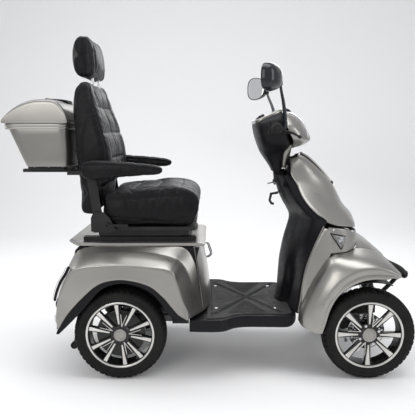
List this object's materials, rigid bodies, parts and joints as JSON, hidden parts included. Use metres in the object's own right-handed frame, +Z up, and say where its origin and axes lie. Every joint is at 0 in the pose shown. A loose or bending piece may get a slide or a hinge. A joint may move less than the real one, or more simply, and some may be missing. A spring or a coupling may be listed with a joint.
{
  "type": "mobility scooter",
  "caption": "Four-wheel mobility scooter with a high captain seat, armrests, luggage box, flat deck, leg shield and tiller with mirrors.",
  "frame": {"origin": "on the ground under the middle of the whole scooter, half way between the luggage box's rear rim and the front tyres' front edge", "axes": "+X forward, +Y to the rider's left, +Z up"},
  "size_m": [1.774, 0.7066, 1.486],
  "materials": {
    "body_silver": "metallic champagne silver paint, gloss",
    "black_plastic": "fine-grained moulding",
    "deck_rubber": "ribbed",
    "frame_paint": "satin black powder coat",
    "leather_black": "soft grained",
    "alloy": "machined",
    "tyre_rubber": "matt",
    "grip_rubber": "textured",
    "steel_bright": "zinc plated",
    "cast_alloy": "cast",
    "lamp_clear": "clear lens",
    "lamp_red": "lens",
    "battery_case": "moulded",
    "mirror_shell": "satin",
    "horn_red": "gloss"
  },
  "bodies": {
    "chassis": {"frame": "frame_paint", "front_axle": "frame_paint", "seat_support": "frame_paint", "deck_pan": "black_plastic", "deck_mat": "deck_rubber", "rear_body": "body_silver", "rear_fenders": "body_silver", "wheel_arch_liners": "black_plastic", "tail_lamps": "lamp_red", "batteries": "battery_case", "leg_shield": "black_plastic", "front_cowl": "body_silver", "nose_hood": "body_silver", "front_fenders": "body_silver", "front_lamps": "lamp_clear", "front_bumper": "frame_paint", "bag_hook": "steel_bright", "ignition_lock": "steel_bright", "charge_port": "black_plastic", "seat_rails": "frame_paint", "rear_shock_tubes": "frame_paint", "rear_springs": "steel_bright"},
    "key_barrel": {"key": "black_plastic"},
    "swing_axle": {"transaxle": "cast_alloy"},
    "shock_rods": {"rear_shock_rods": "steel_bright"},
    "rear_wheel_l": {"rear_tyre_l": "tyre_rubber", "rear_rim_l": "alloy"},
    "rear_wheel_r": {"rear_tyre_r": "tyre_rubber", "rear_rim_r": "alloy"},
    "knuckle_left": {"knuckle_l": "frame_paint"},
    "knuckle_right": {"knuckle_r": "frame_paint"},
    "front_wheel_l": {"front_tyre_l": "tyre_rubber", "front_rim_l": "alloy"},
    "front_wheel_r": {"front_tyre_r": "tyre_rubber", "front_rim_r": "alloy"},
    "pitman": {"pitman_arm": "steel_bright"},
    "track_link": {"track_rod": "steel_bright"},
    "tip_rollers": {"anti_tip_rollers": "black_plastic"},
    "tiller": {"handlebar": "frame_paint", "dash_front": "body_silver", "dash_rear": "black_plastic", "left_grip": "grip_rubber", "mirror_stalks": "mirror_shell"},
    "throttle": {"throttle_grip": "grip_rubber"},
    "lever_l": {"brake_lever_l": "frame_paint"},
    "lever_r": {"brake_lever_r": "frame_paint"},
    "horn": {"horn_button": "horn_red"},
    "mirror_left": {"mirror_l": "mirror_shell"},
    "mirror_right": {"mirror_r": "mirror_shell"},
    "seat": {"seat_frame": "frame_paint", "seat_cushion": "leather_black"},
    "recline_lever": {"seat_levers": "steel_bright"},
    "back": {"back_frame": "frame_paint", "backrest": "leather_black", "box_base": "body_silver"},
    "head": {"headrest": "leather_black", "headrest_posts": "steel_bright"},
    "arm_l": {"armrest_l": "leather_black"},
    "arm_r": {"armrest_r": "leather_black"},
    "lid": {"box_lid": "body_silver"}
  },
  "joints": [
    {"name": "steer", "type": "hinge", "parent": "chassis", "child": "tiller", "pos_m": [0.588, 0, 0.275], "axis": [-0.3141, 0, 0.9494], "range_deg": [-30, 30]},
    {"name": "pitman_turn", "type": "hinge", "parent": "chassis", "child": "pitman", "pos_m": [0.588, 0, 0.2], "axis": [0, 0, 1], "range_deg": [-30, 30]},
    {"name": "track_rod_turn", "type": "hinge", "parent": "pitman", "child": "track_link", "pos_m": [0.508, 0, 0.15], "axis": [0, 0, 1], "range_deg": [-30, 30]},
    {"name": "knuckle_l_turn", "type": "hinge", "parent": "chassis", "child": "knuckle_left", "pos_m": [0.688, 0.229, 0.2], "axis": [0, 0, 1], "range_deg": [-30, 30]},
    {"name": "knuckle_r_turn", "type": "hinge", "parent": "chassis", "child": "knuckle_right", "pos_m": [0.688, -0.229, 0.2], "axis": [0, 0, 1], "range_deg": [-30, 30]},
    {"name": "front_spin_l", "type": "hinge", "parent": "knuckle_left", "child": "front_wheel_l", "pos_m": [0.688, 0.279, 0.2], "axis": [0, 1, 0], "continuous": true},
    {"name": "front_spin_r", "type": "hinge", "parent": "knuckle_right", "child": "front_wheel_r", "pos_m": [0.688, -0.279, 0.2], "axis": [0, 1, 0], "continuous": true},
    {"name": "rear_suspension", "type": "hinge", "parent": "chassis", "child": "swing_axle", "pos_m": [-0.15, 0, 0.215], "axis": [0, 1, 0], "range_deg": [-3, 3], "stiffness_Nm_per_rad": 12000, "springref_deg": -0.69, "deforming": ["rear_springs"]},
    {"name": "shock_rod_tilt", "type": "hinge", "parent": "swing_axle", "child": "shock_rods", "pos_m": [-0.385, 0, 0.246], "axis": [0, 1, 0], "range_deg": [-3, 3]},
    {"name": "rear_spin_l", "type": "hinge", "parent": "swing_axle", "child": "rear_wheel_l", "pos_m": [-0.385, 0.279, 0.2], "axis": [0, 1, 0], "continuous": true},
    {"name": "rear_spin_r", "type": "hinge", "parent": "swing_axle", "child": "rear_wheel_r", "pos_m": [-0.385, -0.279, 0.2], "axis": [0, 1, 0], "continuous": true},
    {"name": "tip_roller_spin", "type": "hinge", "parent": "chassis", "child": "tip_rollers", "pos_m": [-0.611, 0, 0.111], "axis": [0, 1, 0], "continuous": true},
    {"name": "throttle_twist", "type": "hinge", "parent": "tiller", "child": "throttle", "pos_m": [0.275, -0.27, 1.079], "axis": [0, 1, 0], "range_deg": [-60, 0], "stiffness_Nm_per_rad": 0.3},
    {"name": "brake_lever_l_pull", "type": "hinge", "parent": "tiller", "child": "lever_l", "pos_m": [0.318, 0.19, 1.066], "axis": [0, 0, 1], "range_deg": [0, 14], "stiffness_Nm_per_rad": 3},
    {"name": "brake_lever_r_pull", "type": "hinge", "parent": "tiller", "child": "lever_r", "pos_m": [0.318, -0.19, 1.066], "axis": [0, 0, -1], "range_deg": [0, 14], "stiffness_Nm_per_rad": 3},
    {"name": "horn_press", "type": "slide", "parent": "tiller", "child": "horn", "axis": [1, 0, 0], "range_m": [0, 0.003], "stiffness_N_per_m": 300},
    {"name": "mirror_l_swivel", "type": "hinge", "parent": "tiller", "child": "mirror_left", "pos_m": [0.293, 0.25, 1.263], "axis": [0, 0, 1], "range_deg": [-15, 15]},
    {"name": "mirror_r_swivel", "type": "hinge", "parent": "tiller", "child": "mirror_right", "pos_m": [0.293, -0.25, 1.263], "axis": [0, 0, 1], "range_deg": [-15, 15]},
    {"name": "key_turn", "type": "hinge", "parent": "chassis", "child": "key_barrel", "pos_m": [0.3136, 0.034, 0.83], "axis": [-0.9703, 0, -0.2419], "range_deg": [0, 90]},
    {"name": "seat_slide", "type": "slide", "parent": "chassis", "child": "seat", "axis": [1, 0, 0], "range_m": [-0.06, 0.06]},
    {"name": "backrest_recline", "type": "hinge", "parent": "seat", "child": "back", "pos_m": [-0.48, 0, 0.7], "axis": [0, -1, 0], "range_deg": [-4, 25]},
    {"name": "recline_lever_lift", "type": "hinge", "parent": "seat", "child": "recline_lever", "pos_m": [-0.44, -0.247, 0.668], "axis": [0, -1, 0], "range_deg": [0, 20], "stiffness_Nm_per_rad": 1},
    {"name": "headrest_height", "type": "slide", "parent": "back", "child": "head", "axis": [-0.0872, 0, 0.9962], "range_m": [0, 0.06]},
    {"name": "armrest_l_lift", "type": "hinge", "parent": "back", "child": "arm_l", "pos_m": [-0.505, 0.27, 0.905], "axis": [0, -1, 0], "range_deg": [0, 90]},
    {"name": "armrest_r_lift", "type": "hinge", "parent": "back", "child": "arm_r", "pos_m": [-0.505, -0.27, 0.905], "axis": [0, -1, 0], "range_deg": [0, 90]},
    {"name": "box_lid_open", "type": "hinge", "parent": "back", "child": "lid", "pos_m": [-0.593, 0, 1.102], "axis": [0, 1, 0], "range_deg": [0, 28]}
  ],
  "couplings": [
    {"joint": "pitman_turn", "follows": "steer", "ratio": 1},
    {"joint": "track_rod_turn", "follows": "steer", "ratio": -1},
    {"joint": "knuckle_l_turn", "follows": "steer", "ratio": 1},
    {"joint": "knuckle_r_turn", "follows": "steer", "ratio": 1},
    {"joint": "shock_rod_tilt", "follows": "rear_suspension", "ratio": -1}
  ]
}
